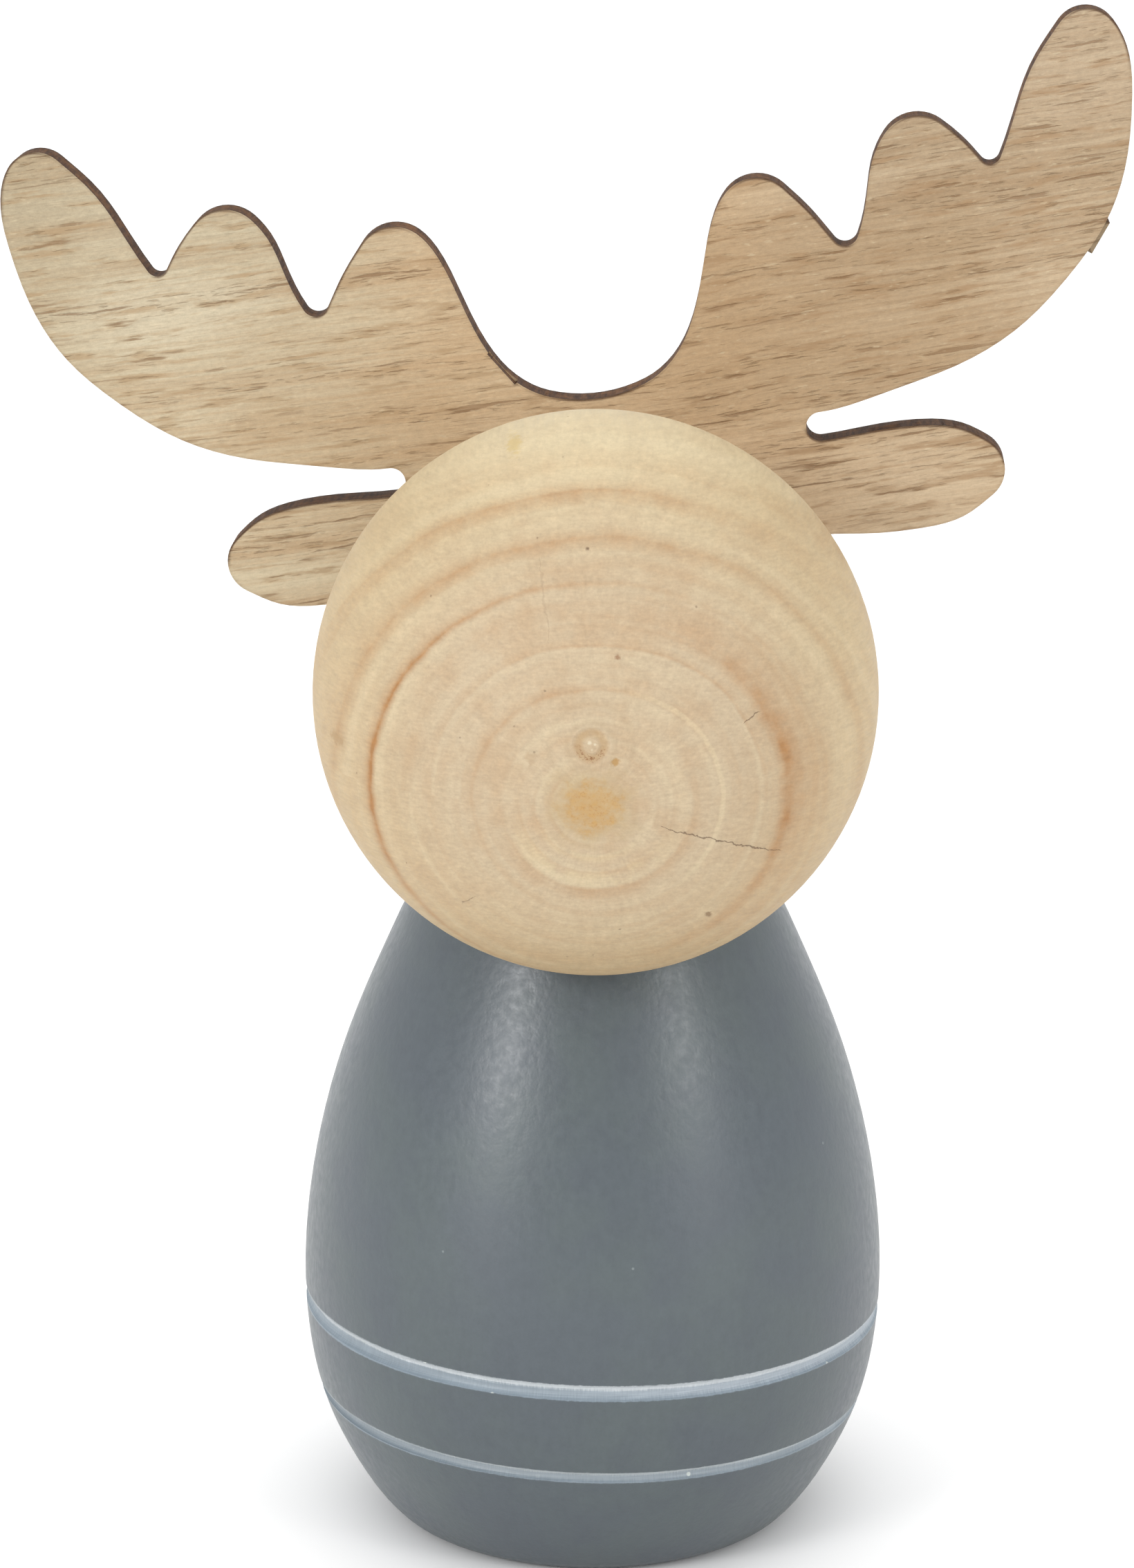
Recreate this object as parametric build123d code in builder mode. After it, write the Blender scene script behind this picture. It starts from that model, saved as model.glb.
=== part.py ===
from build123d import *
import math
import os

os.makedirs("parts", exist_ok=True)

# A wooden moose figurine: a turned, painted egg-shaped body, a plain turned ball set
# forward on its crown as the head, and a thin cut sheet of antlers and ears fixed to a
# flat on the back of the ball. +Z is up, the ball faces -Y, and the origin is the
# centre of the flat foot that the body stands on.

# ---- driving dimensions, millimetres and degrees -------------------------------------
ball_diameter = 45.0
body_radius = 24.7
body_height = 63.2
sheet_thickness = 3.0

# ---- turned body: foot, rounded corner, swelling side, round crown --------------------
foot_radius = 15.2
foot_round = 3.5
shoulder_radius = 16.5
shoulder_height = 52.5
# The crown is a part of a sphere that meets the side at the shoulder.
crown_rise = body_height - shoulder_height
crown_radius = (shoulder_radius**2 + crown_rise**2) / (2 * crown_rise)
crown_centre_height = body_height - crown_radius
crown_centre = Vector(0, 0, crown_centre_height)

# Two shallow rings are cut round the body, both a little out of square with its axis.
ring_tilt = 1.2
wide_ring_height = 19.1
wide_ring_cutter = 0.75
wide_ring_reach = body_radius - 0.45
narrow_ring_height = 11.2
narrow_ring_cutter = 0.50
narrow_ring_reach = body_radius - 1.70

# ---- head ball -------------------------------------------------------------------------
ball_radius = ball_diameter / 2
ball_centre = Vector(0, -18.3, 76.3)
glue_gap = 0.05
back_flat_radius = 8.0
back_flat_distance = math.sqrt(ball_radius**2 - back_flat_radius**2)

# The lathe left a ring and a small raised middle where the ball's turning axis came out.
spindle_rise = 3.4
spindle_swing = 0.8
spindle_ring_radius = 1.05
spindle_ring_cutter = 0.80
spindle_ring_depth = 0.15

# ---- hidden pin that ties the ball to the body -----------------------------------------
pin_radius = 3.0
pin_length = 20.0
pin_chamfer = 0.5
pin_end_gap = 0.5
hole_mouth_overrun = 4.0
pin_direction = (crown_centre - ball_centre).normalized()
seat_point = ball_centre + pin_direction * ball_radius
pin_plane = Plane(seat_point, z_dir=pin_direction)

# ---- antler sheet: upright, turned a little, and rolled askew in its own plane ---------
sheet_yaw = 2.4
sheet_roll = 8.3
sheet_offset_right = 2.0
sheet_drop = 5.0
valley_radius = 11.8
slot_half_width = 1.2
slot_depth = 18.0
slot_middle_height = 20.05
chin_radius = 11.0
chin_centre_height = 6.0

yaw = math.radians(sheet_yaw)
roll = math.radians(sheet_roll)
sheet_normal = Vector(-math.sin(yaw), -math.cos(yaw), 0)
level_right = Vector(math.cos(yaw), -math.sin(yaw), 0)
sheet_right = level_right * math.cos(roll) + Vector(0, 0, math.sin(roll))
back_flat_centre = ball_centre - sheet_normal * back_flat_distance
back_flat_plane = Plane(back_flat_centre, x_dir=sheet_right, z_dir=sheet_normal)
sheet_up = back_flat_plane.y_dir
sheet_origin = back_flat_centre + sheet_right * sheet_offset_right - sheet_up * sheet_drop
sheet_plane = Plane(sheet_origin, x_dir=sheet_right, z_dir=sheet_normal)

# Two tabs held the sheet in its blank. One left a broken stub on the right-hand antler,
# sloping back from the front face, and the other a shallow scar on the left of the valley.
stub_length = 1.9
stub_width = 0.5
stub_centre = (42.04, 32.87)
stub_angle = 53.0
stub_slope_depth = 0.5
scar_length = 3.4
scar_width = 0.7
scar_depth = 1.2
scar_centre = (-7.27, 28.46)
scar_angle = -56.0


# ======================================================================================
with BuildPart() as turned_body:
    corner = math.radians(45)
    half_corner = corner / 2
    corner_end = (
        foot_radius + foot_round * math.sin(corner),
        foot_round * (1 - math.cos(corner)),
    )
    corner_middle = (
        foot_radius + foot_round * math.sin(half_corner),
        foot_round * (1 - math.cos(half_corner)),
    )
    shoulder_slope = math.atan2(shoulder_height - crown_centre_height, shoulder_radius)
    crown_middle = (shoulder_slope + math.radians(90)) / 2
    crown_middle_point = (
        crown_radius * math.cos(crown_middle),
        crown_centre_height + crown_radius * math.sin(crown_middle),
    )
    with BuildSketch(Plane.XZ):
        with BuildLine():
            Line((0, 0), (foot_radius, 0))
            ThreePointArc((foot_radius, 0), corner_middle, corner_end)
            Spline(
                corner_end,
                (body_radius - 3.85, 5.5),
                (body_radius - 1.75, 10.0),
                (body_radius - 0.12, 18.5),
                (body_radius - 0.75, 30.0),
                (body_radius - 3.80, 42.0),
                (shoulder_radius, shoulder_height),
                tangents=((1, 1), (-math.sin(shoulder_slope), math.cos(shoulder_slope))),
                tangent_scalars=(1, 1),
            )
            ThreePointArc(
                (shoulder_radius, shoulder_height),
                crown_middle_point,
                (0, body_height),
            )
            Line((0, body_height), (0, 0))
        make_face()
    revolve(axis=Axis.Z)
    # The two rings, each turned about the same tilted axis direction.
    tilt = math.radians(ring_tilt)
    ring_right = Vector(math.cos(tilt), 0, -math.sin(tilt))
    ring_up = Vector(math.sin(tilt), 0, math.cos(tilt))
    rings = (
        (wide_ring_height, wide_ring_cutter, wide_ring_reach),
        (narrow_ring_height, narrow_ring_cutter, narrow_ring_reach),
    )
    for ring_height, ring_cutter, ring_reach in rings:
        ring_centre = Vector(0, 0, ring_height)
        with BuildSketch(Plane(ring_centre, x_dir=ring_right, z_dir=(0, -1, 0))):
            with Locations((ring_reach + ring_cutter, 0)):
                Circle(ring_cutter)
        revolve(axis=Axis(ring_centre, ring_up), mode=Mode.SUBTRACT)
    # The dished seat that the ball is glued into, then the blind hole for the pin.
    with Locations(ball_centre):
        Sphere(ball_radius + glue_gap, mode=Mode.SUBTRACT)
    hole_depth = pin_length / 2 + pin_end_gap
    with Locations(pin_plane.offset((hole_depth - hole_mouth_overrun) / 2)):
        Cylinder(pin_radius + glue_gap, hole_depth + hole_mouth_overrun, mode=Mode.SUBTRACT)

turned_body.part.label = "turned_body"


# ======================================================================================
with BuildPart() as head_ball:
    with Locations(ball_centre):
        Sphere(ball_radius)
    # The flat on the back, square to the antler sheet.
    split(bisect_by=back_flat_plane, keep=Keep.TOP)
    with Locations(pin_plane.offset((hole_mouth_overrun - hole_depth) / 2)):
        Cylinder(pin_radius + glue_gap, hole_depth + hole_mouth_overrun, mode=Mode.SUBTRACT)
    # The ring round the end of the turning axis.
    rise = math.radians(spindle_rise)
    swing = math.radians(spindle_swing)
    spindle_out = Vector(
        -math.sin(swing) * math.cos(rise),
        -math.cos(swing) * math.cos(rise),
        math.sin(rise),
    )
    spindle_side = Vector(math.cos(swing), -math.sin(swing), 0)
    spindle_plane = Plane(ball_centre, x_dir=spindle_side, z_dir=spindle_side.cross(spindle_out))
    ring_surface = math.sqrt(ball_radius**2 - spindle_ring_radius**2)
    with BuildSketch(spindle_plane):
        with Locations((spindle_ring_radius, ring_surface + spindle_ring_cutter - spindle_ring_depth)):
            Circle(spindle_ring_cutter)
    revolve(axis=Axis(ball_centre, spindle_out), mode=Mode.SUBTRACT)

head_ball.part.label = "head_ball"


# ======================================================================================
with BuildPart() as seat_pin:
    with Locations(pin_plane):
        Cylinder(pin_radius, pin_length)
    chamfer(seat_pin.edges().filter_by(GeomType.CIRCLE), pin_chamfer)

seat_pin.part.label = "seat_pin"


# ======================================================================================
# Half of the outline is drawn on the right of the sheet's own centre line, and the other
# half mirrors it. The round places are arcs: the valley floor, three tine tips, the two
# notches between them, the end of the slot, the tip of the ear and the chin. The flanks
# are curves that leave one arc and run smoothly into the next.
with BuildPart() as antler_sheet:
    with BuildSketch(sheet_plane):
        with BuildLine():
            valley = JernArc((0, 24.8), tangent=(1, 0), radius=valley_radius, arc_size=20)
            inner_tip = ThreePointArc((12.8, 40.3), (15.1, 41.2), (17.5, 40.1))
            inner_notch = ThreePointArc((21.1, 35.15), (22.05, 34.65), (23.0, 35.25))
            middle_tip = ThreePointArc((26.2, 43.3), (28.5, 44.45), (30.9, 43.6))
            outer_notch = ThreePointArc((33.8, 40.1), (34.5, 39.7), (35.3, 40.15))
            outer_tip = ThreePointArc((41.3, 50.3), (43.4, 51.2), (45.4, 50.2))
            slot_end = ThreePointArc(
                (slot_depth, slot_middle_height + slot_half_width),
                (slot_depth - slot_half_width, slot_middle_height),
                (slot_depth, slot_middle_height - slot_half_width),
            )
            ear_tip = ThreePointArc((31.6, 17.0), (32.65, 14.7), (31.4, 12.5))
            chin = CenterArc((0, chin_centre_height), chin_radius, start_angle=0, arc_size=-90)
            Spline(
                valley @ 1,
                (6.9, 27.5),
                (8.8, 30.6),
                (10.1, 34.4),
                (11.3, 38.0),
                inner_tip @ 0,
                tangents=(valley % 1, inner_tip % 0),
                tangent_scalars=(1, 1),
            )
            Spline(
                inner_tip @ 1,
                (19.6, 37.5),
                inner_notch @ 0,
                tangents=(inner_tip % 1, inner_notch % 0),
                tangent_scalars=(1, 1),
            )
            Spline(
                inner_notch @ 1,
                (24.1, 38.3),
                (25.0, 41.4),
                middle_tip @ 0,
                tangents=(inner_notch % 1, middle_tip % 0),
                tangent_scalars=(1, 1),
            )
            Spline(
                middle_tip @ 1,
                (32.6, 41.8),
                outer_notch @ 0,
                tangents=(middle_tip % 1, outer_notch % 0),
                tangent_scalars=(1, 1),
            )
            Spline(
                outer_notch @ 1,
                (36.8, 43.3),
                (38.7, 47.1),
                outer_tip @ 0,
                tangents=(outer_notch % 1, outer_tip % 0),
                tangent_scalars=(1, 1),
            )
            Spline(
                outer_tip @ 1,
                (46.45, 47.8),
                (46.4, 43.4),
                (45.3, 38.2),
                (43.2, 33.8),
                (39.8, 29.9),
                (35.0, 26.0),
                (29.8, 23.65),
                (23.8, 22.2),
                slot_end @ 0,
                tangents=(outer_tip % 1, slot_end % 0),
                tangent_scalars=(1, 1),
            )
            Spline(
                slot_end @ 1,
                (22.0, 19.08),
                (26.5, 19.03),
                (29.6, 18.3),
                ear_tip @ 0,
                tangents=(slot_end % 1, ear_tip % 0),
                tangent_scalars=(1, 1),
            )
            Spline(
                ear_tip @ 1,
                (28.9, 11.05),
                (25.0, 10.45),
                (20.5, 10.6),
                (16.5, 10.95),
                (12.6, 9.6),
                chin @ 0,
                tangents=(ear_tip % 1, chin % 0),
                tangent_scalars=(1, 1),
            )
            mirror(about=Plane.YZ)
        make_face()
    extrude(amount=-sheet_thickness)
    # The stub grows at 45 degrees from the front face, then runs straight to the back.
    with BuildSketch(sheet_plane):
        with Locations(stub_centre):
            Rectangle(stub_length, stub_width, rotation=stub_angle)
    extrude(amount=-stub_slope_depth, taper=-45)
    with BuildSketch(sheet_plane.offset(-stub_slope_depth)):
        with Locations(stub_centre):
            Rectangle(
                stub_length + 2 * stub_slope_depth,
                stub_width + 2 * stub_slope_depth,
                rotation=stub_angle,
            )
    extrude(amount=stub_slope_depth - sheet_thickness)
    with BuildSketch(sheet_plane):
        with Locations(scar_centre):
            Rectangle(scar_length, scar_width, rotation=scar_angle)
    extrude(amount=-scar_depth, mode=Mode.SUBTRACT)

antler_sheet.part.label = "antler_sheet"


# ======================================================================================
export_step(turned_body.part, "parts/turned_body.step")
export_step(head_ball.part, "parts/head_ball.step")
export_step(seat_pin.part, "parts/seat_pin.step")
export_step(antler_sheet.part, "parts/antler_sheet.step")
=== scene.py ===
"""Looks of the wooden moose figurine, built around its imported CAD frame.

Units are metres. Material coordinates are in millimetres, measured from the pieces
themselves, so that every grain, ring and pore keeps its real size.
"""

import math

import bpy
from mathutils import Matrix, Vector


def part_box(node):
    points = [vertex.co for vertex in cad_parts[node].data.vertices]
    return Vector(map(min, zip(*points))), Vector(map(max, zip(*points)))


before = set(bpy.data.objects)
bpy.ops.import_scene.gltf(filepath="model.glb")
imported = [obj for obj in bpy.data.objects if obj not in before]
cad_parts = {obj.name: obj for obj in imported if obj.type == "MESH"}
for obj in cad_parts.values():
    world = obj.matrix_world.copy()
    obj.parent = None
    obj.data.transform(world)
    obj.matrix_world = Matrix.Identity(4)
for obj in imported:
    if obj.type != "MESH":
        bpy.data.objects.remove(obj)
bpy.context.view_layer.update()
MM = 0.001
# The flat on the ball's back shortens its box, so the centre's distance in front is given.
BALL_FORWARD = 18.3

# ---- places and directions, from the CAD -------------------------------------------------
ball_low, ball_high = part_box("head_ball")
BALL_RADIUS = (ball_high.x - ball_low.x) / 2 / MM
BALL_CENTRE = Vector(
    (
        (ball_low.x + ball_high.x) / 2 / MM,
        -BALL_FORWARD,
        (ball_low.z + ball_high.z) / 2 / MM,
    )
)
# The lathe axis of the ball comes out of its front a little above level, through a small dish.
DISH_RADIUS = 1.1
SPINDLE_RISE = math.radians(3.4)
SPINDLE_SWING = math.radians(0.8)
SPINDLE_OUT = Vector(
    (
        -math.sin(SPINDLE_SWING) * math.cos(SPINDLE_RISE),
        -math.cos(SPINDLE_SWING) * math.cos(SPINDLE_RISE),
        math.sin(SPINDLE_RISE),
    )
)
SPINDLE_SIDE = Vector((math.cos(SPINDLE_SWING), -math.sin(SPINDLE_SWING), 0))
SPINDLE_UP = SPINDLE_OUT.cross(SPINDLE_SIDE)

# The antler sheet stands upright, turned by its yaw and rolled in its own plane.
SHEET_YAW = math.radians(2.4)
SHEET_ROLL = math.radians(8.3)
SHEET_NORMAL = Vector((-math.sin(SHEET_YAW), -math.cos(SHEET_YAW), 0))
SHEET_LEVEL = Vector((math.cos(SHEET_YAW), -math.sin(SHEET_YAW), 0))
SHEET_RIGHT = SHEET_LEVEL * math.cos(SHEET_ROLL) + Vector((0, 0, math.sin(SHEET_ROLL)))
SHEET_UP = SHEET_NORMAL.cross(SHEET_RIGHT)
SHEET_ORIGIN = Vector((3.579, 2.598, 71.641))
SHEET_THICKNESS = 3.0

# The two rings of the body lie in planes tilted a little to the right.
RING_TILT = math.radians(1.2)
RING_UP = Vector((math.sin(RING_TILT), 0, math.cos(RING_TILT)))


def srgb(r, g, b):
    """A colour given as 0-255 screen values, as linear light and full opacity."""

    def linear(c):
        c /= 255
        return c / 12.92 if c <= 0.04045 else ((c + 0.055) / 1.055) ** 2.4

    return (linear(r), linear(g), linear(b), 1.0)


# The paints of the two rings; the colour for each ring's upper edge is a painted highlight.
WIDE_RING = {
    "height": 19.1,
    "half_width": 0.69,
    "left": srgb(127, 138, 146),
    "right": srgb(150, 159, 167),
    "under": srgb(114, 127, 137),
    "painted_highlight": srgb(182, 187, 190),
}
NARROW_RING = {
    "height": 11.2,
    "half_width": 0.50,
    "left": srgb(132, 141, 147),
    "right": srgb(130, 140, 147),
    "under": srgb(116, 128, 137),
    "painted_highlight": srgb(162, 168, 171),
}


# ---- a short way to write node trees -----------------------------------------------------
class Nodes:
    """Builds one material. Every method returns an output socket."""

    def __init__(self, name):
        self.material = bpy.data.materials.new(name)
        self.material.use_nodes = True
        self.tree = self.material.node_tree
        self.tree.nodes.clear()
        self.output = self.tree.nodes.new("ShaderNodeOutputMaterial")
        self.shader = self.tree.nodes.new("ShaderNodeBsdfPrincipled")
        self.tree.links.new(self.shader.outputs[0], self.output.inputs["Surface"])

    def make(self, kind, inputs=None, **settings):
        node = self.tree.nodes.new(kind)
        for key, value in settings.items():
            setattr(node, key, value)
        for key, value in (inputs or {}).items():
            self.put(node.inputs[key], value)
        return node

    def put(self, socket, value):
        if isinstance(value, bpy.types.NodeSocket):
            self.tree.links.new(value, socket)
        else:
            socket.default_value = value

    def math(self, operation, *values, clamp=False):
        node = self.make("ShaderNodeMath", operation=operation, use_clamp=clamp)
        for socket, value in zip(node.inputs, values):
            self.put(socket, value)
        return node.outputs[0]

    def add(self, *values):
        total = values[0]
        for value in values[1:]:
            total = self.math("ADD", total, value)
        return total

    def mul(self, *values):
        total = values[0]
        for value in values[1:]:
            total = self.math("MULTIPLY", total, value)
        return total

    def sub(self, a, b):
        return self.math("SUBTRACT", a, b)

    def step(self, value, low, high):
        """0 below low, 1 above high, and smooth between. High may be under low."""
        node = self.make("ShaderNodeMapRange", interpolation_type="SMOOTHSTEP")
        flip = high < low
        self.put(node.inputs["Value"], value)
        self.put(node.inputs["From Min"], min(low, high))
        self.put(node.inputs["From Max"], max(low, high))
        self.put(node.inputs["To Min"], 1.0 if flip else 0.0)
        self.put(node.inputs["To Max"], 0.0 if flip else 1.0)
        return node.outputs["Result"]

    def remap(self, value, a, b, c, d):
        """Takes a..b to c..d in a straight line, held at both ends."""
        node = self.make("ShaderNodeMapRange")
        for key, number in zip(("From Min", "From Max", "To Min", "To Max"), (a, b, c, d)):
            node.inputs[key].default_value = number
        self.put(node.inputs["Value"], value)
        return node.outputs["Result"]

    def dot(self, vector, direction):
        node = self.make("ShaderNodeVectorMath", operation="DOT_PRODUCT")
        self.put(node.inputs[0], vector)
        node.inputs[1].default_value = direction
        return node.outputs["Value"]

    def vector(self, x, y, z):
        node = self.make("ShaderNodeCombineXYZ")
        for socket, value in zip(node.inputs, (x, y, z)):
            self.put(socket, value)
        return node.outputs[0]

    def place(self, centre):
        """The piece's own coordinates in millimetres, from centre."""
        coordinates = self.make("ShaderNodeTexCoord").outputs["Object"]
        node = self.make("ShaderNodeVectorMath", operation="MULTIPLY_ADD")
        self.put(node.inputs[0], coordinates)
        node.inputs[1].default_value = (1 / MM, 1 / MM, 1 / MM)
        node.inputs[2].default_value = -Vector(centre)
        return node.outputs[0]

    def noise(self, vector, scale=1.0, detail=2.0, roughness=0.5, distortion=0.0):
        """Noise from 0 to 1, about 0.5."""
        node = self.make(
            "ShaderNodeTexNoise",
            {
                "Vector": vector,
                "Scale": scale,
                "Detail": detail,
                "Roughness": roughness,
                "Distortion": distortion,
            },
            noise_dimensions="3D",
        )
        return node.outputs["Fac"]

    def cells(self, vector, scale, randomness=1.0):
        """Distance to the nearest of a field of points, and that point's own colour."""
        node = self.make(
            "ShaderNodeTexVoronoi",
            {"Vector": vector, "Scale": scale, "Randomness": randomness},
            voronoi_dimensions="3D",
        )
        return node.outputs["Distance"], node.outputs["Color"]

    def mix(self, amount, a, b, blend="MIX"):
        node = self.make("ShaderNodeMix", data_type="RGBA", blend_type=blend)
        self.put(node.inputs[0], amount)
        self.put(node.inputs[6], a)
        self.put(node.inputs[7], b)
        return node.outputs[2]

    def ramp(self, value, stops):
        """A colour ramp from (position, colour) stops."""
        node = self.make("ShaderNodeValToRGB")
        elements = node.color_ramp.elements
        while len(elements) < len(stops):
            elements.new(0.5)
        for element, (position, colour) in zip(elements, stops):
            element.position = position
            element.color = colour
        self.put(node.inputs[0], value)
        return node.outputs[0]

    def bump(self, height, depth, strength=1.0, normal=None):
        """Relief: height 0 to 1 stands for depth millimetres."""
        node = self.make(
            "ShaderNodeBump", {"Height": height, "Distance": depth * MM, "Strength": strength}
        )
        if normal is not None:
            self.put(node.inputs["Normal"], normal)
        return node.outputs[0]

    def finish(self, colour, roughness, normal, **fixed):
        self.put(self.shader.inputs["Base Color"], colour)
        self.put(self.shader.inputs["Roughness"], roughness)
        self.put(self.shader.inputs["Normal"], normal)
        for key, value in fixed.items():
            self.shader.inputs[key.replace("_", " ")].default_value = value
        return self.material


# ---- plain wood of the ball --------------------------------------------------------------
def ball_wood():
    t = Nodes("ball_end_grain")
    p = t.place(BALL_CENTRE)
    u = t.dot(p, SPINDLE_SIDE)
    v = t.dot(p, SPINDLE_UP)
    w = t.dot(p, SPINDLE_OUT)
    front = t.step(w, 0.0, 2.0)

    # Growth rings: nearly round about the pith, which lies below the lathe axis.
    pith_u, pith_v, squash = 0.45, -4.75, 0.95
    slow = t.noise(t.vector(u, v, t.mul(w, 0.3)), 0.13, 1.0)
    quick = t.noise(t.vector(u, v, t.mul(w, 0.3)), 0.8, 3.0, 0.6)
    du = t.sub(u, pith_u)
    dv = t.mul(t.sub(v, pith_v), 1 / squash)
    rho = t.math("SQRT", t.add(t.mul(du, du), t.mul(dv, dv)))
    waviness, roughening = 0.8, 0.30
    rho = t.add(rho, t.mul(t.sub(slow, 0.5), waviness), t.mul(t.sub(quick, 0.5), roughening))
    theta = t.math("ARCTAN2", dv, du)
    smudge = t.noise(t.vector(u, v, t.mul(w, 0.4)), 0.55, 3.0, 0.6)

    # Each ring darkens over its rise, then fades outwards. Most are strong over a part of
    # their round only: (radius, rise, fade, least, most, direction in degrees, narrowness).
    rings = (
        (1.9, 0.25, 0.4, 0.10, 0.22, 60, 1),
        (3.4, 0.25, 0.5, 0.10, 0.30, 200, 1),
        (4.6, 0.25, 0.4, 0.12, 0.30, 240, 1),
        (5.9, 0.25, 0.4, 0.05, 0.34, -100, 1),
        (7.4, 0.30, 0.6, 0.06, 0.40, -80, 1),
        (9.5, 0.35, 0.4, 0.10, 0.46, 110, 1),
        (12.9, 0.30, 0.3, 0.20, 0.62, 70, 2),
        (14.5, 1.00, 1.3, 0.14, 1.30, 5, 2),
        (17.6, 0.50, 0.28, 0.24, 1.70, 165, 2),
        (20.8, 1.10, 0.25, 0.18, 0.90, 120, 2),
        (24.0, 1.60, 0.25, 0.08, 0.80, 102, 3),
        (25.6, 1.20, 0.60, 0.04, 0.50, 45, 5),
    )
    dark = 0.0
    rise_past_radius = 0.4
    for radius, rise, fade, least, most, where, narrow in rings:
        beyond = t.sub(rho, radius)
        started = t.step(beyond, -rise, rise * rise_past_radius)
        faded = t.math("EXPONENT", t.mul(t.math("MAXIMUM", beyond, 0.0), -1 / fade))
        facing = t.math("COSINE", t.sub(theta, math.radians(where)))
        facing = t.math("MAXIMUM", t.mul(t.add(facing, 1), 0.5), 0)
        facing = t.math("POWER", facing, narrow * 2.0)
        amount = t.add(t.mul(facing, most - least), least)
        dark = t.add(dark, t.mul(started, faded, amount))
    # The rings are mottled, and so is the wood between them.
    dark = t.mul(dark, t.remap(smudge, 0.3, 0.7, 0.65, 1.25))
    bands = t.noise(t.vector(t.mul(rho, 1.1), t.mul(theta, 0.6), t.mul(w, 0.02)), 1.0, 3.0)
    dark = t.add(dark, t.mul(t.sub(bands, 0.5), 0.75), t.mul(t.sub(smudge, 0.5), 0.22))

    # Rays run out from the pith, fibres run along the lathe axis and show as short dashes.
    ray_place = t.vector(t.mul(theta, 26), t.mul(rho, 0.75), t.mul(w, 0.15))
    rays = t.noise(ray_place, 1.0, 3.0, 0.65)
    fibres = t.noise(t.vector(t.mul(u, 3.2), t.mul(v, 3.2), t.mul(w, 0.16)), 1.0, 3.0, 0.6)
    dashes = t.noise(t.vector(t.mul(u, 1.4), t.mul(v, 5.2), t.mul(w, 0.5)), 1.0, 3.0, 0.6)
    mottle = t.noise(t.vector(u, v, t.mul(w, 0.4)), 0.26, 3.0, 0.6)
    grit = t.noise(p, 5.5, 3.0, 0.7)

    # The cream grows paler towards the top of the ball: painted light from above.
    cream_with_painted_top_light = t.ramp(
        t.remap(v, -BALL_RADIUS, BALL_RADIUS, 0.0, 1.0),
        (
            (0.0, srgb(172, 150, 115)),
            (0.5, srgb(179, 158, 124)),
            (0.82, srgb(180, 161, 127)),
            (1.0, srgb(197, 181, 147)),
        ),
    )
    pink = srgb(174, 156, 129)
    tan = srgb(152, 108, 62)
    nub = t.math("SQRT", t.add(t.mul(u, u), t.mul(v, v)))
    middle = t.step(nub, 22.5, 10.0)
    base = t.mix(t.mul(middle, front), cream_with_painted_top_light, pink)
    patchy = t.mul(t.step(mottle, 0.42, 0.66), t.add(t.mul(middle, 0.40), 0.12))
    base = t.mix(patchy, base, srgb(168, 144, 114))
    colour = t.mix(t.math("MAXIMUM", t.mul(dark, 0.72), 0.0, clamp=True), base, tan)
    light = t.math("MAXIMUM", t.mul(dark, -2.2), 0.0, clamp=True)
    colour = t.mix(t.mul(light, 0.75), colour, srgb(196, 181, 150))

    # Two cream crescents lie under the pith.
    outer_radius, inner_radius = 6.5, 4.6
    below = t.math("COSINE", t.sub(theta, math.radians(-95)))
    outer = t.step(t.math("ABSOLUTE", t.sub(rho, outer_radius)), 1.1, 0.3)
    outer = t.mul(outer, t.step(below, 0.1, 0.9))
    inner = t.step(t.math("ABSOLUTE", t.sub(rho, inner_radius)), 0.5, 0.15)
    inner = t.mul(inner, t.step(below, 0.3, 0.95))
    crescent = t.mul(t.math("MAXIMUM", outer, t.mul(inner, 0.8)), t.step(smudge, 0.30, 0.55))
    colour = t.mix(t.mul(crescent, 0.42), colour, srgb(193, 178, 144))

    # A thin pale ring shows on the right of the pith.
    pale_radius = 9.55
    pale = t.math("ABSOLUTE", t.sub(rho, pale_radius))
    aside = t.step(t.math("COSINE", t.sub(theta, math.radians(12))), 0.25, 0.75)
    colour = t.mix(t.mul(t.step(pale, 0.26, 0.08), aside, 0.38), colour, srgb(194, 178, 146))

    shade = t.add(
        t.mul(t.sub(rays, 0.5), 0.22),
        t.mul(t.sub(fibres, 0.5), 0.28),
        t.mul(t.sub(dashes, 0.5), 0.30),
        t.mul(t.sub(grit, 0.5), 0.22),
        1.0,
    )
    colour = t.mix(1.0, colour, t.vector(shade, shade, shade), "MULTIPLY")

    # The pith is stained orange, with a ragged edge and darker crumbs.
    stain_u, stain_v, squareness = 0.05, -4.8, 2.4
    ragged = t.noise(p, 1.4, 4.0, 0.70)
    su = t.math("ABSOLUTE", t.sub(u, stain_u))
    sv = t.mul(t.math("ABSOLUTE", t.sub(v, stain_v)), 1.1)
    stain_d = t.add(t.math("POWER", su, squareness), t.math("POWER", sv, squareness))
    stain_d = t.math("POWER", stain_d, 1 / squareness)
    stain_d = t.add(stain_d, t.mul(t.sub(smudge, 0.5), 3.0), t.mul(t.sub(ragged, 0.5), 2.6))
    halo = t.mul(t.step(stain_d, 4.4, 1.6), front)
    colour = t.mix(t.mul(halo, 0.42), colour, srgb(158, 136, 94))
    stain = t.mul(t.step(stain_d, 2.8, 0.8), front)
    uneven = t.remap(ragged, 0.35, 0.65, 0.80, 0.36)
    colour = t.mix(t.mul(stain, uneven), colour, srgb(172, 134, 76))
    crumbs = t.mul(t.step(grit, 0.50, 0.62), t.step(ragged, 0.62, 0.45), stain)
    colour = t.mix(t.mul(crumbs, 0.34), colour, srgb(140, 92, 48))

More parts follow.
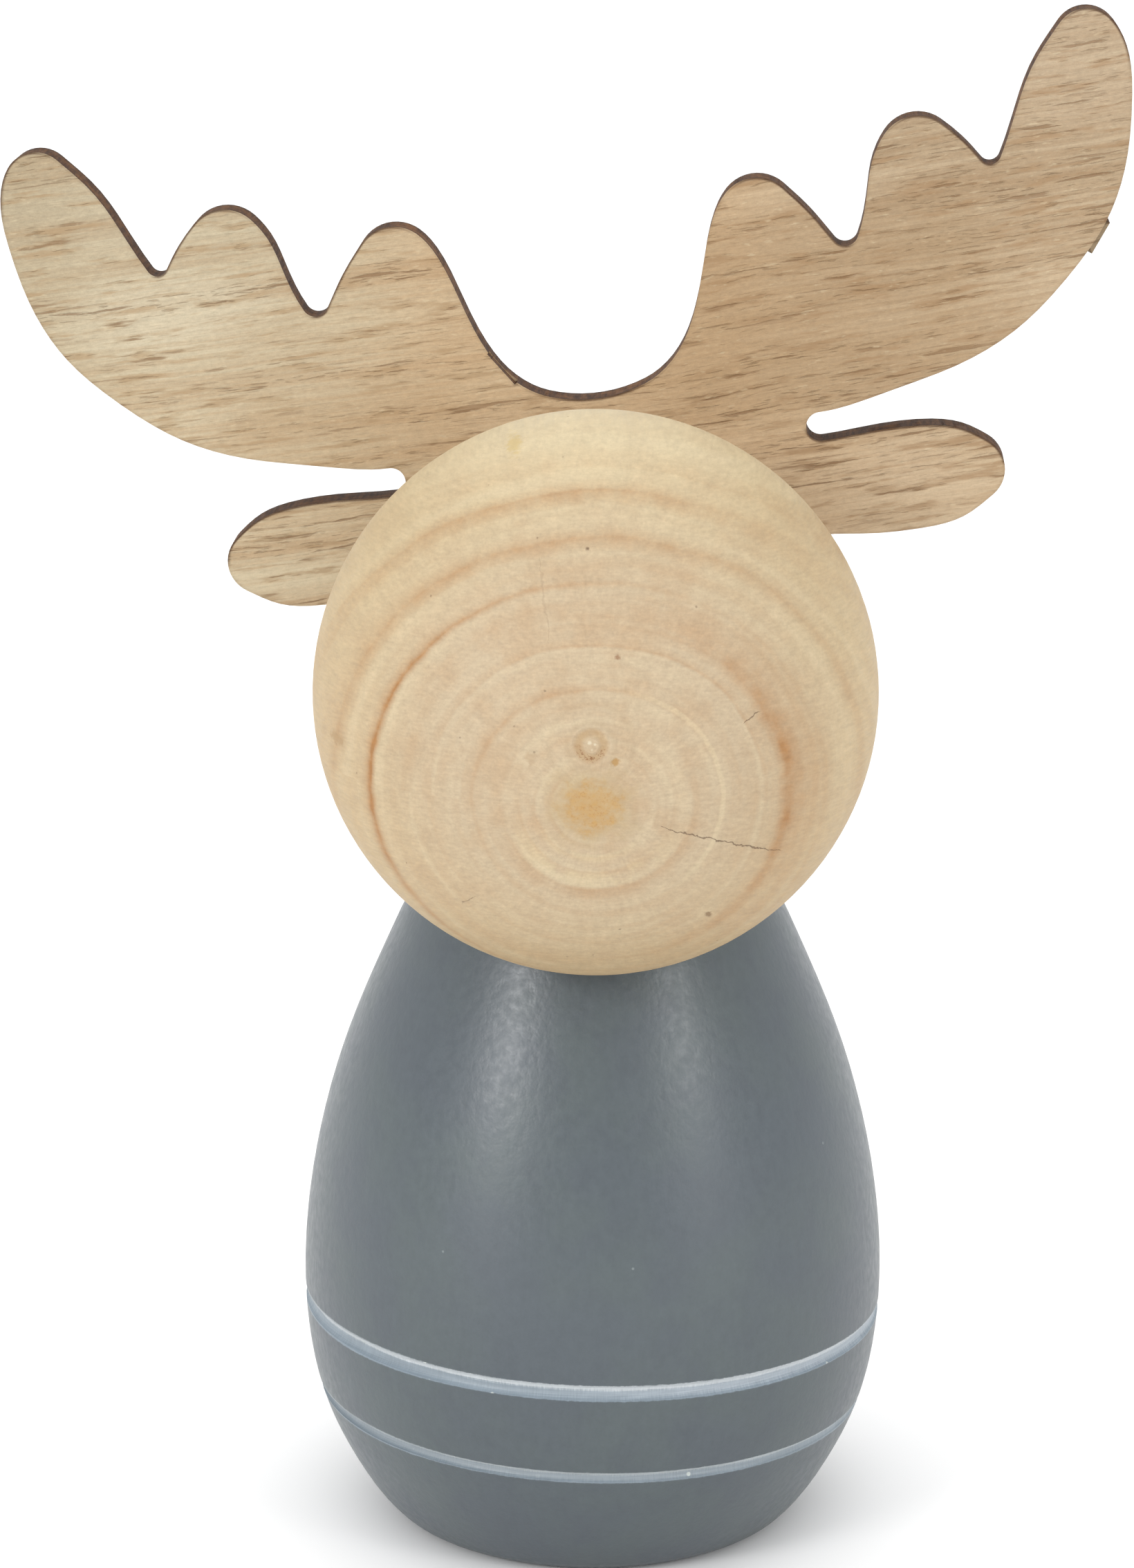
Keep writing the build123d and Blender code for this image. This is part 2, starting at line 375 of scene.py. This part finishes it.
    # Small spots: (u, v, radius, colour, strength).
    spots = (
        (1.82, -1.28, 0.44, srgb(156, 120, 66), 0.8),
        (0.02, -0.98, 0.22, srgb(98, 46, 26), 0.75),
        (-0.30, -1.05, 0.14, srgb(98, 46, 26), 0.75),
        (1.91, 6.60, 0.28, srgb(128, 92, 62), 0.7),
        (-3.5, 4.05, 0.15, srgb(96, 84, 68), 0.6),
        (-0.43, 14.21, 0.17, srgb(92, 70, 52), 0.8),
        (8.99, -14.66, 0.34, srgb(112, 86, 58), 0.7),
        (-6.42, 20.61, 0.75, srgb(182, 156, 88), 0.45),
        (-4.6, -1.0, 0.6, srgb(158, 134, 104), 0.5),
        (-19.9, -1.9, 0.75, srgb(150, 122, 84), 0.5),
        # The three pale spots in the middle of the dish are painted highlights.
        (-0.14, 0.22, 0.17, srgb(198, 188, 164), 0.7),
        (0.30, 0.10, 0.13, srgb(198, 188, 164), 0.6),
        (0.06, -0.30, 0.11, srgb(198, 188, 164), 0.4),
    )
    # Those outside the dish are small pits as well.
    pits = 0.0
    spot_raggedness = 2.4
    for spot_u, spot_v, radius, paint, strength in spots:
        a = t.sub(u, spot_u)
        b = t.sub(v, spot_v)
        d = t.math("SQRT", t.add(t.mul(a, a), t.mul(b, b)))
        d = t.add(d, t.mul(t.sub(ragged, 0.5), radius * spot_raggedness))
        mask = t.mul(t.step(d, radius, radius * 0.3), front, strength)
        colour = t.mix(mask, colour, paint)
        if spot_v < -DISH_RADIUS or spot_v > DISH_RADIUS:
            pits = t.add(pits, mask)

    # Fine dark pores scattered over the whole ball.
    distance, tint = t.cells(p, 0.50)
    chosen = t.step(t.dot(tint, (1, 0, 0)), 0.62, 0.72)
    pore = t.mul(t.step(distance, 0.055, 0.020), chosen)
    colour = t.mix(t.mul(pore, 0.40), colour, srgb(104, 80, 58))

    # Hairline drying cracks: (u, v at each end, width, strength).
    cracks = (
        ((5.2, -6.5), (14.7, -9.70), 0.026, 0.75),
        ((11.4, 1.15), (12.75, 2.1), 0.022, 0.7),
        ((-10.1, -14.1), (-8.8, -13.1), 0.020, 0.4),
        ((-4.05, 13.6), (-3.15, 7.4), 0.050, 0.14),
    )
    gaps = 0.0
    crack_wander = 0.95
    wander = t.noise(p, 0.9, 4.0, 0.62)
    for (u0, v0), (u1, v1), width, strength in cracks:
        length = math.hypot(u1 - u0, v1 - v0)
        along_u, along_v = (u1 - u0) / length, (v1 - v0) / length
        a = t.sub(u, u0)
        b = t.sub(v, v0)
        along = t.add(t.mul(a, along_u), t.mul(b, along_v))
        across = t.add(t.mul(a, -along_v), t.mul(b, along_u))
        across = t.add(across, t.mul(t.sub(wander, 0.5), crack_wander))
        reach = t.math("MAXIMUM", t.sub(along, length), t.mul(along, -1.0))
        taper = t.step(reach, 0.0, -length * 0.30)
        opening = t.mul(t.add(taper, 0.35), width)
        line = t.math("DIVIDE", t.math("ABSOLUTE", across), opening)
        mask = t.mul(t.step(line, 1.8, 0.5), t.step(reach, 0.0, -0.2), front, strength)
        colour = t.mix(t.mul(mask, 0.85), colour, srgb(78, 52, 34))
        gaps = t.add(gaps, mask)

    # The small dish that the lathe left is darker, and faint turning marks surround it.
    groove_radius = 0.98
    groove = t.mul(t.step(t.math("ABSOLUTE", t.sub(nub, groove_radius)), 0.52, 0.10), front)
    groove = t.mul(groove, t.remap(ragged, 0.3, 0.7, 0.55, 1.1))
    colour = t.mix(t.mul(groove, 0.42), colour, srgb(150, 114, 62))
    crust = t.mul(groove, t.step(v, 0.5, -0.9), t.step(grit, 0.52, 0.62))
    colour = t.mix(t.mul(crust, 0.75), colour, srgb(108, 58, 28))
    turning = t.mul(t.step(nub, 5.5, 1.8), t.step(nub, 1.2, 1.8))
    turning = t.mul(t.math("SINE", t.mul(nub, 4.4)), turning)
    turned = t.mul(t.math("MAXIMUM", turning, 0.0), front, 0.13)
    colour = t.mix(turned, colour, srgb(132, 110, 78))

    relief = t.add(
        t.mul(fibres, 0.5),
        t.mul(rays, 0.2),
        t.mul(grit, 0.25),
        t.mul(turning, 0.25),
        t.mul(dark, -0.15),
    )
    normal = t.bump(relief, 0.030, 0.7)
    cut = t.math("MINIMUM", t.add(gaps, t.mul(pits, 0.35), t.mul(pore, 0.7)), 1.0)
    normal = t.bump(t.sub(1.0, cut), 0.10, 0.8, normal)
    dished = t.mul(t.step(nub, 1.3, 0.9), front, 0.14)
    roughness = t.add(t.remap(fibres, 0.3, 0.7, 0.52, 0.66), t.mul(cut, 0.2), dished)
    return t.finish(colour, roughness, normal, Specular_IOR_Level=0.32)


# ---- blue-grey paint of the body ---------------------------------------------------------
def body_paint():
    t = Nodes("body_blue_grey_paint")
    p = t.place((0, 0, 0))
    x = t.dot(p, (1, 0, 0))
    y = t.dot(p, (0, 1, 0))
    z = t.dot(p, (0, 0, 1))
    turn = t.math("ARCTAN2", x, t.mul(y, -1.0))

    cloud = t.noise(p, 0.10, 2.0, 0.5)
    patch = t.noise(p, 0.32, 3.0, 0.6)
    mottle = t.noise(t.vector(x, y, t.mul(z, 0.8)), 1.5, 2.0, 0.55)
    brush = t.noise(t.vector(t.mul(turn, 38), t.mul(z, 0.30), 0.0), 1.0, 3.0, 0.6)
    stipple = t.noise(p, 4.2, 1.0, 0.5)

    colour = t.mix(t.step(cloud, 0.35, 0.65), srgb(75, 83, 89), srgb(77, 86, 89))
    colour = t.mix(t.mul(t.step(patch, 0.42, 0.70), 0.45), colour, srgb(72, 79, 86))
    # The paint carries painted shade low down, and painted light that lifts its lower left
    # side again.
    left = t.step(x, -8.0, -22.0)
    shade = t.add(
        t.mul(t.sub(brush, 0.5), 0.10),
        t.mul(t.sub(mottle, 0.5), 0.20),
        t.mul(t.sub(stipple, 0.5), 0.10),
        t.remap(z, 20.0, 38.0, 0.92, 1.0),
        t.mul(left, t.step(z, 28.0, 12.0), 0.09),
    )
    colour = t.mix(1.0, colour, t.vector(shade, shade, shade), "MULTIPLY")

    # The rings show as paler lines, lightest on the right; the pale colour along their upper
    # edge is a painted highlight.
    ragged = t.noise(t.vector(t.mul(turn, 48), t.mul(z, 1.5), 0.0), 1.0, 4.0, 0.65)
    wobble = t.mul(t.sub(ragged, 0.5), 0.22)
    scratches = t.noise(t.vector(t.mul(turn, 190), t.mul(z, 0.8), 0.0), 1.0, 2.0, 0.6)
    streak = t.noise(t.vector(t.mul(turn, 4.0), t.mul(z, 16.0), 0.0), 1.0, 3.0, 0.6)
    smear = t.noise(t.vector(t.mul(turn, 7.0), t.mul(z, 2.0), 0.0), 1.0, 3.0, 0.6)
    right = t.step(t.add(x, t.mul(t.sub(smear, 0.5), 14)), -9.0, 14.0)
    ringed = 0.0
    for ring in (WIDE_RING, NARROW_RING):
        half = ring["half_width"]
        above = t.sub(t.dot(p, RING_UP), ring["height"])
        edge = t.add(t.math("ABSOLUTE", above), wobble, t.mul(left, -0.12))
        mask = t.step(edge, half + 0.07, half - 0.05)
        level = t.math("DIVIDE", above, half)
        level = t.add(level, t.mul(t.sub(scratches, 0.5), 0.40))
        level = t.add(level, t.mul(t.sub(streak, 0.5), 0.90))
        line = t.mix(right, ring["left"], ring["right"])
        line = t.mix(t.step(level, -0.25, -0.95), line, ring["under"])
        # The upper part of each ring gets the painted highlight colour.
        line = t.mix(t.step(level, 0.10, 0.45), line, ring["painted_highlight"])
        line = t.mix(t.mul(t.step(level, 0.85, 1.10), 0.7), line, srgb(104, 113, 117))
        worn = t.add(
            t.mul(t.sub(smear, 0.5), 0.30),
            t.mul(t.sub(streak, 0.5), 0.40),
            t.mul(t.sub(scratches, 0.5), 0.30),
            1.0,
        )
        line = t.mix(1.0, line, t.vector(worn, worn, worn), "MULTIPLY")
        colour = t.mix(mask, colour, line)
        ringed = t.math("MAXIMUM", ringed, mask)
    # Tiny white crumbs of filler sit in the rings.
    distance, tint = t.cells(p, 0.75)
    crumb = t.mul(
        t.step(distance, 0.17, 0.10), t.step(t.dot(tint, (1, 0, 0)), 0.70, 0.74), ringed
    )
    colour = t.mix(t.mul(crumb, 0.8), colour, srgb(186, 192, 188))

    # A few pale specks of dust in the paint.
    distance, tint = t.cells(p, 0.34)
    chosen = t.step(t.dot(tint, (0, 1, 0)), 0.84, 0.88)
    speck = t.mul(t.step(distance, 0.055, 0.020), chosen)
    colour = t.mix(t.mul(speck, 0.24), colour, srgb(176, 184, 184))

    relief = t.add(t.mul(mottle, 0.80), t.mul(stipple, 0.08), t.mul(brush, 0.15))
    normal = t.bump(relief, 0.036, 1.0)
    normal = t.bump(t.add(crumb, t.mul(scratches, ringed, 0.15)), 0.05, 0.5, normal)
    roughness = t.add(t.remap(mottle, 0.3, 0.7, 0.31, 0.42), t.mul(ringed, 0.05))
    return t.finish(colour, roughness, normal, Specular_IOR_Level=0.55)


# ---- oak veneer of the antlers -----------------------------------------------------------
def oak_sheet():
    t = Nodes("oak_veneer_scorched_edge")
    p = t.place(SHEET_ORIGIN)
    x = t.dot(p, SHEET_RIGHT)
    y = t.dot(p, SHEET_UP)
    n = t.dot(p, SHEET_NORMAL)
    back = t.mul(t.step(n, -SHEET_THICKNESS / 2 + 0.1, -SHEET_THICKNESS / 2 - 0.1), 37.0)

    # The grain runs along the sheet and climbs a little towards its right-hand end.
    bend = t.noise(t.vector(t.mul(x, 0.025), t.mul(y, 0.06), back), 1.0, 2.0)
    across = t.add(
        y,
        t.mul(x, -0.012),
        t.mul(t.mul(x, x), -0.00035),
        t.mul(t.sub(bend, 0.5), 2.2),
        back,
    )
    bands = t.noise(t.vector(t.mul(x, 0.012), t.mul(across, 0.42), 0.0), 1.0, 3.0, 0.6)
    lines = t.noise(t.vector(t.mul(x, 0.045), t.mul(across, 2.4), 0.0), 1.0, 3.0, 0.65)
    fine = t.noise(t.vector(t.mul(x, 0.22), t.mul(across, 9.0), 0.0), 1.0, 3.0, 0.65)
    fleck = t.noise(t.vector(t.mul(x, 0.9), t.mul(across, 3.0), 0.0), 1.0, 3.0, 0.6)
    grit = t.noise(p, 8.0, 2.0, 0.7)
    blotch = t.noise(p, 0.10, 2.0, 0.5)

    # The right-hand antler is browner, the left-hand one paler and greyer.
    side = t.step(t.add(x, t.mul(t.sub(blotch, 0.5), 16)), -22.0, 12.0)
    pale = t.mix(side, srgb(178, 165, 139), srgb(174, 155, 128))
    deep = t.mix(side, srgb(162, 140, 111), srgb(152, 129, 101))
    tone = t.add(t.mul(bands, 0.62), t.mul(lines, 0.42), t.mul(fleck, 0.10))
    colour = t.mix(t.step(tone, 0.42, 0.74), pale, deep)
    # Near the middle the veneer is warmer, which is the wood's own tone, and paler, which is
    # painted light over the ball's shadow.
    centre = t.step(t.math("ABSOLUTE", t.add(x, t.mul(t.sub(blotch, 0.5), 10))), 26.0, 8.0)
    colour = t.mix(t.mul(centre, 0.50), colour, srgb(182, 153, 118))

    # The left-hand antler has a paler streak along the grain, and a darker tip.
    streak_x, streak_y, streak_length, streak_height = -36.0, 36.5, 12.0, 3.6
    along = t.mul(t.sub(x, streak_x), 1 / streak_length)
    beside = t.mul(t.sub(across, streak_y), 1 / streak_height)
    streak = t.math("SQRT", t.add(t.mul(along, along), t.mul(beside, beside)))
    streak = t.add(streak, t.sub(lines, 0.5))
    colour = t.mix(t.mul(t.step(streak, 1.2, 0.5), 0.6), colour, srgb(190, 180, 156))
    colour = t.mix(t.mul(t.step(x, -36.0, -45.0), 0.5), colour, srgb(160, 145, 118))

    # Broad darker and paler patches: (x, y, half-length, half-height, strength, colour).
    patches = (
        (20.0, 30.0, 19.0, 10.5, 0.40, srgb(142, 116, 84)),
        (-21.0, 23.5, 13.0, 7.0, 0.30, srgb(150, 120, 84)),
        (44.0, 50.0, 10.0, 11.0, 0.30, srgb(190, 170, 144)),
        (18.0, 12.0, 15.0, 9.0, 0.24, srgb(190, 170, 144)),
    )
    for patch_x, patch_y, half_length, half_height, strength, paint in patches:
        along = t.math("ABSOLUTE", t.mul(t.sub(x, patch_x), 1 / half_length))
        beside = t.math("ABSOLUTE", t.mul(t.sub(y, patch_y), 1 / half_height))
        patch = t.mul(t.step(along, 1.0, 0.45), t.step(beside, 1.0, 0.45))
        colour = t.mix(t.mul(patch, strength), colour, paint)

    grained = t.noise(t.vector(t.mul(x, 1.1), t.mul(across, 2.2), back), 1.6, 4.0, 0.7)
    # Besides the grain, the veneer is lighter low down and darker high up: painted light and
    # painted shade.
    shade = t.add(
        t.mul(t.sub(fine, 0.5), 0.34),
        t.mul(t.sub(fleck, 0.5), 0.28),
        t.mul(t.sub(grained, 0.5), 0.46),
        t.mul(t.sub(grit, 0.5), 0.20),
        t.remap(y, 18.0, 46.0, 1.14, 0.90),
    )
    colour = t.mix(1.0, colour, t.vector(shade, shade, shade), "MULTIPLY")

    # Warm tan smudges lie along the grain, and the open pores gather in them.
    wander = t.add(across, t.mul(t.sub(fleck, 0.5), 0.20))
    smudge = t.noise(t.vector(t.mul(x, 0.15), t.mul(wander, 1.15), 21.0), 1.0, 3.0, 0.6)
    smudged = t.step(smudge, 0.50, 0.66)
    smudge_colour = t.mix(side, srgb(152, 126, 93), srgb(144, 115, 83))
    colour = t.mix(t.mul(smudged, 0.62), colour, smudge_colour)
    crowd = t.math("MAXIMUM", smudged, t.step(bands, 0.46, 0.60))
    long_pores = t.noise(t.vector(t.mul(x, 0.15), t.mul(wander, 2.3), 4.0), 1.0, 2.0, 0.6)
    short_pores = t.noise(t.vector(t.mul(x, 0.42), t.mul(wander, 5.2), 9.0), 1.0, 2.0, 0.6)
    long_mask = t.mul(t.step(long_pores, 0.59, 0.66), t.add(t.mul(crowd, 0.85), 0.10))
    short_mask = t.mul(t.step(short_pores, 0.58, 0.68), t.add(t.mul(crowd, 0.65), 0.16))
    pores = t.math("MAXIMUM", long_mask, short_mask)
    colour = t.mix(t.mul(long_mask, 0.68), colour, srgb(112, 82, 54))
    colour = t.mix(t.mul(short_mask, 0.50), colour, srgb(122, 94, 64))
    rays = t.noise(t.vector(t.mul(x, 0.8), t.mul(wander, 3.0), 17.0), 1.0, 2.0, 0.6)
    colour = t.mix(t.mul(t.step(rays, 0.60, 0.74), 0.30), colour, srgb(200, 185, 155))

    # Cut edges are scorched, darkest along both faces, with marks across the thickness.
    geometry = t.make("ShaderNodeNewGeometry")
    facing = t.math("ABSOLUTE", t.dot(geometry.outputs["True Normal"], SHEET_NORMAL))
    edge = t.step(facing, 0.66, 0.55)
    flattening = 0.92
    through = t.vector(*[t.mul(n, part * flattening) for part in SHEET_NORMAL])
    flat = t.make("ShaderNodeVectorMath", operation="SUBTRACT")
    t.put(flat.inputs[0], p)
    t.put(flat.inputs[1], through)
    marks = t.noise(flat.outputs[0], 2.6, 3.0, 0.65)
    char = t.noise(p, 0.45, 3.0, 0.6)
    depth = t.math("ABSOLUTE", t.add(n, SHEET_THICKNESS / 2))
    lip = t.step(depth, 0.85, 1.40)
    burnt = t.mix(t.step(marks, 0.35, 0.70), srgb(58, 33, 13), srgb(92, 60, 32))
    burnt = t.mix(t.mul(t.step(char, 0.48, 0.68), 0.55), burnt, srgb(116, 76, 38))
    burnt = t.mix(t.mul(lip, 0.65), burnt, srgb(50, 28, 10))
    colour = t.mix(edge, colour, burnt)
    # Slanting faces are only browned.
    slope = t.mul(t.step(facing, 0.95, 0.85), t.sub(1.0, edge))
    colour = t.mix(t.mul(slope, 0.55), colour, srgb(104, 88, 62))

    # A thin scorched line follows the outline on each face, strongest along the edges that
    # face up and don't face the middle.
    bevel = t.make("ShaderNodeBevel", {"Radius": 0.55 * MM}, samples=8)
    near = t.math("ABSOLUTE", t.dot(bevel.outputs[0], SHEET_NORMAL))
    rising = t.step(t.dot(bevel.outputs[0], SHEET_UP), -0.06, 0.12)
    away = t.remap(x, -4.0, 4.0, -1.0, 1.0)
    outward = t.step(t.mul(t.dot(bevel.outputs[0], SHEET_RIGHT), away), -0.34, -0.04)
    strength = t.add(t.mul(rising, outward, 0.86), 0.12)
    line = t.mul(t.step(near, 0.985, 0.90), t.sub(1.0, edge))
    line = t.mul(line, t.remap(char, 0.3, 0.7, 0.8, 1.0), strength)
    colour = t.mix(line, colour, srgb(70, 46, 30))

    relief = t.add(t.mul(fine, 0.35), t.mul(lines, 0.25))
    relief = t.add(relief, t.mul(grained, 0.25), t.mul(grit, 0.1))
    normal = t.bump(relief, 0.050, 0.55)
    normal = t.bump(t.sub(1.0, pores), 0.08, 0.8, normal)
    normal = t.bump(t.mul(marks, edge), 0.10, 0.5, normal)
    roughness = t.remap(lines, 0.3, 0.7, 0.50, 0.62)
    roughness = t.add(roughness, t.mul(pores, 0.15), t.mul(edge, 0.12))
    return t.finish(colour, roughness, normal, Specular_IOR_Level=0.18)


# ---- pin ---------------------------------------------------------------------------------
def pin_wood():
    t = Nodes("pin_dowel_wood")
    p = t.place((0, 0, 0))
    grain = t.noise(t.vector(t.dot(p, (3, 0, 0)), t.dot(p, (0, 0.6, 2)), 0.0), 1.0, 3.0)
    colour = t.mix(grain, srgb(210, 180, 136), srgb(170, 132, 90))
    return t.finish(colour, t.remap(grain, 0.3, 0.7, 0.5, 0.7), t.bump(grain, 0.04, 0.5))


finishes = {
    "turned_body": body_paint(),
    "head_ball": ball_wood(),
    "antler_sheet": oak_sheet(),
    "seat_pin": pin_wood(),
}
for node, material in finishes.items():
    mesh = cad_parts[node].data
    mesh.materials.clear()
    mesh.materials.append(material)

# ---- floor and light ---------------------------------------------------------------------
reach = 6.0
# The floor lies a hair below the foot, so that the two faces don't share a plane.
floor_drop = 0.00005
floor_mesh = bpy.data.meshes.new("floor")
floor_mesh.from_pydata(
    [(-reach, -reach, 0), (reach, -reach, 0), (reach, reach, 0), (-reach, reach, 0)],
    [],
    [(0, 1, 2, 3)],
)
floor = bpy.data.objects.new("floor", floor_mesh)
floor.location.z = -floor_drop
bpy.context.scene.collection.objects.link(floor)
paper = Nodes("floor_paper")
paper_tone = paper.noise(paper.place((0, 0, 0)), 0.02, 3.0)
paper.finish(
    paper.mix(paper_tone, (0.94, 0.94, 0.94, 1), (0.96, 0.96, 0.96, 1)),
    paper.remap(paper_tone, 0.3, 0.7, 0.80, 0.90),
    paper.bump(paper_tone, 0.02, 0.2),
    Specular_IOR_Level=0.1,
)
floor_mesh.materials.append(paper.material)

WORLD_STRENGTH = 0.98
world = bpy.data.worlds.new("studio")
bpy.context.scene.world = world
world.use_nodes = True
background = world.node_tree.nodes["Background"]
background.inputs["Color"].default_value = (1.0, 1.0, 1.0, 1.0)
background.inputs["Strength"].default_value = WORLD_STRENGTH


def softbox(name, azimuth, elevation, distance, width, height, power, target):
    """A rectangular light, placed by its angles from the front and aimed at target."""
    light = bpy.data.lights.new(name, "AREA")
    light.shape = "RECTANGLE"
    light.size, light.size_y = width, height
    light.energy = power
    holder = bpy.data.objects.new(name, light)
    a, e = math.radians(azimuth), math.radians(elevation)
    back = Vector((math.sin(a) * math.cos(e), -math.cos(a) * math.cos(e), math.sin(e)))
    holder.location = Vector(target) + back * distance
    holder.rotation_mode = "QUATERNION"
    holder.rotation_quaternion = (-back).to_track_quat("-Z", "Y")
    bpy.context.scene.collection.objects.link(holder)


aim = (0, 0, 0.055)
softbox("key_left", -43, 23, 0.70, 0.20, 0.12, 1.25, aim)
softbox("strip_left", -43, 10, 0.70, 0.26, 0.28, 0.42, aim)
softbox("key_right", 46, 24, 0.70, 0.16, 0.12, 0.62, aim)
softbox("strip_right", 46, 10, 0.70, 0.26, 0.28, 0.34, aim)
overhead = bpy.data.lights.new("overhead", "SUN")
overhead.energy = 0.80
overhead.angle = math.radians(60)
overhead_holder = bpy.data.objects.new("overhead", overhead)
bpy.context.scene.collection.objects.link(overhead_holder)

# ---- camera ------------------------------------------------------------------------------
CAMERA_PLACE = (0, -0.39472, 0.16820)
CAMERA_LENS = 111.76
pitch, yaw, lean = math.radians(14.80), math.radians(-0.342), math.radians(-0.226)
camera_data = bpy.data.cameras.new("camera")
camera = bpy.data.objects.new("camera", camera_data)
bpy.context.scene.collection.objects.link(camera)
camera_data.sensor_fit = "AUTO"
camera_data.sensor_width = 36.0
camera_data.lens = CAMERA_LENS
camera_data.clip_start, camera_data.clip_end = 0.01, 20.0
forward = Vector(
    (math.sin(yaw) * math.cos(pitch), math.cos(yaw) * math.cos(pitch), -math.sin(pitch))
)
right = Vector((math.cos(yaw), -math.sin(yaw), 0))
down = forward.cross(right)
right_leaned = right * math.cos(lean) + down * math.sin(lean)
down_leaned = down * math.cos(lean) - right * math.sin(lean)
turn = Matrix((right_leaned, -down_leaned, -forward)).transposed()
camera.matrix_world = Matrix.Translation(CAMERA_PLACE) @ turn.to_4x4()
bpy.context.scene.camera = camera

bpy.context.scene.view_settings.view_transform = "Standard"
bpy.context.scene.view_settings.look = "None"
